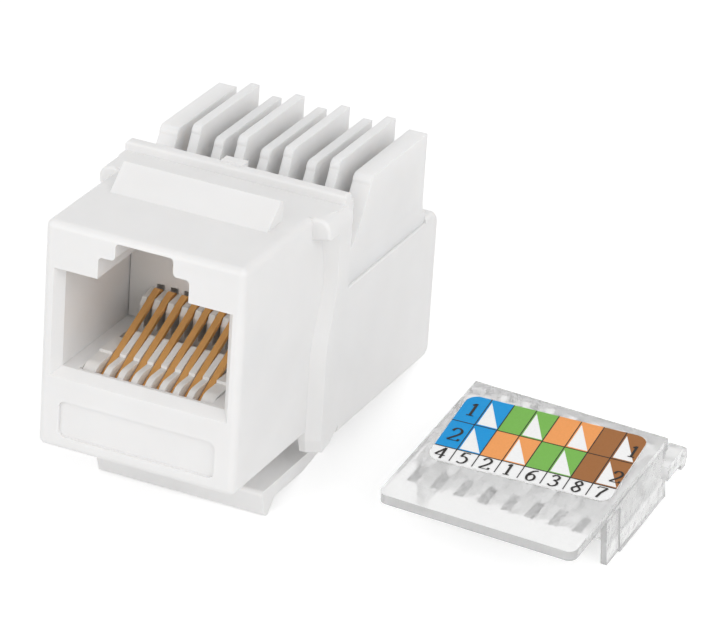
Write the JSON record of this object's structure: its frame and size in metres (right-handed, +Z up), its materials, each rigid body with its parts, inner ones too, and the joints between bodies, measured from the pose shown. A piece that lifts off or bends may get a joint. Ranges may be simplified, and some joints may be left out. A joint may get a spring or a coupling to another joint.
{
  "type": "keystone jack",
  "caption": "Snap-in modular network jack with spring contacts in a stepped plug port, a row of insulation-displacement slots, a flexing panel latch and a loose clear cap.",
  "frame": {"origin": "middle of the plug opening, in the plane of the front face", "axes": "+X to the right across the front face seen from in front, +Y into the depth, +Z up towards the insulation-displacement slots"},
  "size_m": [0.0387, 0.0285, 0.0226],
  "materials": {
    "housing_white": "fine satin moulding",
    "carrier_white": "satin",
    "spring_bronze": "gold-plated spring bronze",
    "tinned_blade": "tinned bronze",
    "board_green": "solder-masked laminate",
    "clear_plastic": "clear polycarbonate",
    "label_print": "printed film"
  },
  "bodies": {
    "jack": {"front_housing": "housing_white", "contact_carrier": "carrier_white", "contact_lead_1": "spring_bronze", "contact_lead_2": "spring_bronze", "contact_lead_3": "spring_bronze", "contact_lead_4": "spring_bronze", "contact_lead_5": "spring_bronze", "contact_lead_6": "spring_bronze", "contact_lead_7": "spring_bronze", "contact_lead_8": "spring_bronze", "circuit_board": "board_green", "idc_blade_1": "tinned_blade", "idc_blade_2": "tinned_blade", "idc_blade_3": "tinned_blade", "idc_blade_4": "tinned_blade", "idc_blade_5": "tinned_blade", "idc_blade_6": "tinned_blade", "idc_blade_7": "tinned_blade", "idc_blade_8": "tinned_blade", "idc_block": "housing_white", "rear_housing": "housing_white", "stuffer_cap": "clear_plastic", "wiring_label": "label_print"},
    "latch": {"latch_arm": "housing_white"},
    "spring_1": {"contact_1": "spring_bronze"},
    "spring_2": {"contact_2": "spring_bronze"},
    "spring_3": {"contact_3": "spring_bronze"},
    "spring_4": {"contact_4": "spring_bronze"},
    "spring_5": {"contact_5": "spring_bronze"},
    "spring_6": {"contact_6": "spring_bronze"},
    "spring_7": {"contact_7": "spring_bronze"},
    "spring_8": {"contact_8": "spring_bronze"}
  },
  "joints": [
    {"name": "latch_flex", "type": "hinge", "parent": "jack", "child": "latch", "pos_m": [0, 0.015, -0.01065], "axis": [1, 0, 0], "range_deg": [-12, 0], "stiffness_Nm_per_rad": 0.3},
    {"name": "contact_1_flex", "type": "hinge", "parent": "jack", "child": "spring_1", "pos_m": [-0.00357, 0.002, -0.0049], "axis": [1, 0, 0], "range_deg": [-8, 0], "stiffness_Nm_per_rad": 0.03},
    {"name": "contact_2_flex", "type": "hinge", "parent": "jack", "child": "spring_2", "pos_m": [-0.00255, 0.002, -0.0049], "axis": [1, 0, 0], "range_deg": [-8, 0], "stiffness_Nm_per_rad": 0.03},
    {"name": "contact_3_flex", "type": "hinge", "parent": "jack", "child": "spring_3", "pos_m": [-0.00153, 0.002, -0.0049], "axis": [1, 0, 0], "range_deg": [-8, 0], "stiffness_Nm_per_rad": 0.03},
    {"name": "contact_4_flex", "type": "hinge", "parent": "jack", "child": "spring_4", "pos_m": [-0.00051, 0.002, -0.0049], "axis": [1, 0, 0], "range_deg": [-8, 0], "stiffness_Nm_per_rad": 0.03},
    {"name": "contact_5_flex", "type": "hinge", "parent": "jack", "child": "spring_5", "pos_m": [0.00051, 0.002, -0.0049], "axis": [1, 0, 0], "range_deg": [-8, 0], "stiffness_Nm_per_rad": 0.03},
    {"name": "contact_6_flex", "type": "hinge", "parent": "jack", "child": "spring_6", "pos_m": [0.00153, 0.002, -0.0049], "axis": [1, 0, 0], "range_deg": [-8, 0], "stiffness_Nm_per_rad": 0.03},
    {"name": "contact_7_flex", "type": "hinge", "parent": "jack", "child": "spring_7", "pos_m": [0.00255, 0.002, -0.0049], "axis": [1, 0, 0], "range_deg": [-8, 0], "stiffness_Nm_per_rad": 0.03},
    {"name": "contact_8_flex", "type": "hinge", "parent": "jack", "child": "spring_8", "pos_m": [0.00357, 0.002, -0.0049], "axis": [1, 0, 0], "range_deg": [-8, 0], "stiffness_Nm_per_rad": 0.03}
  ]
}
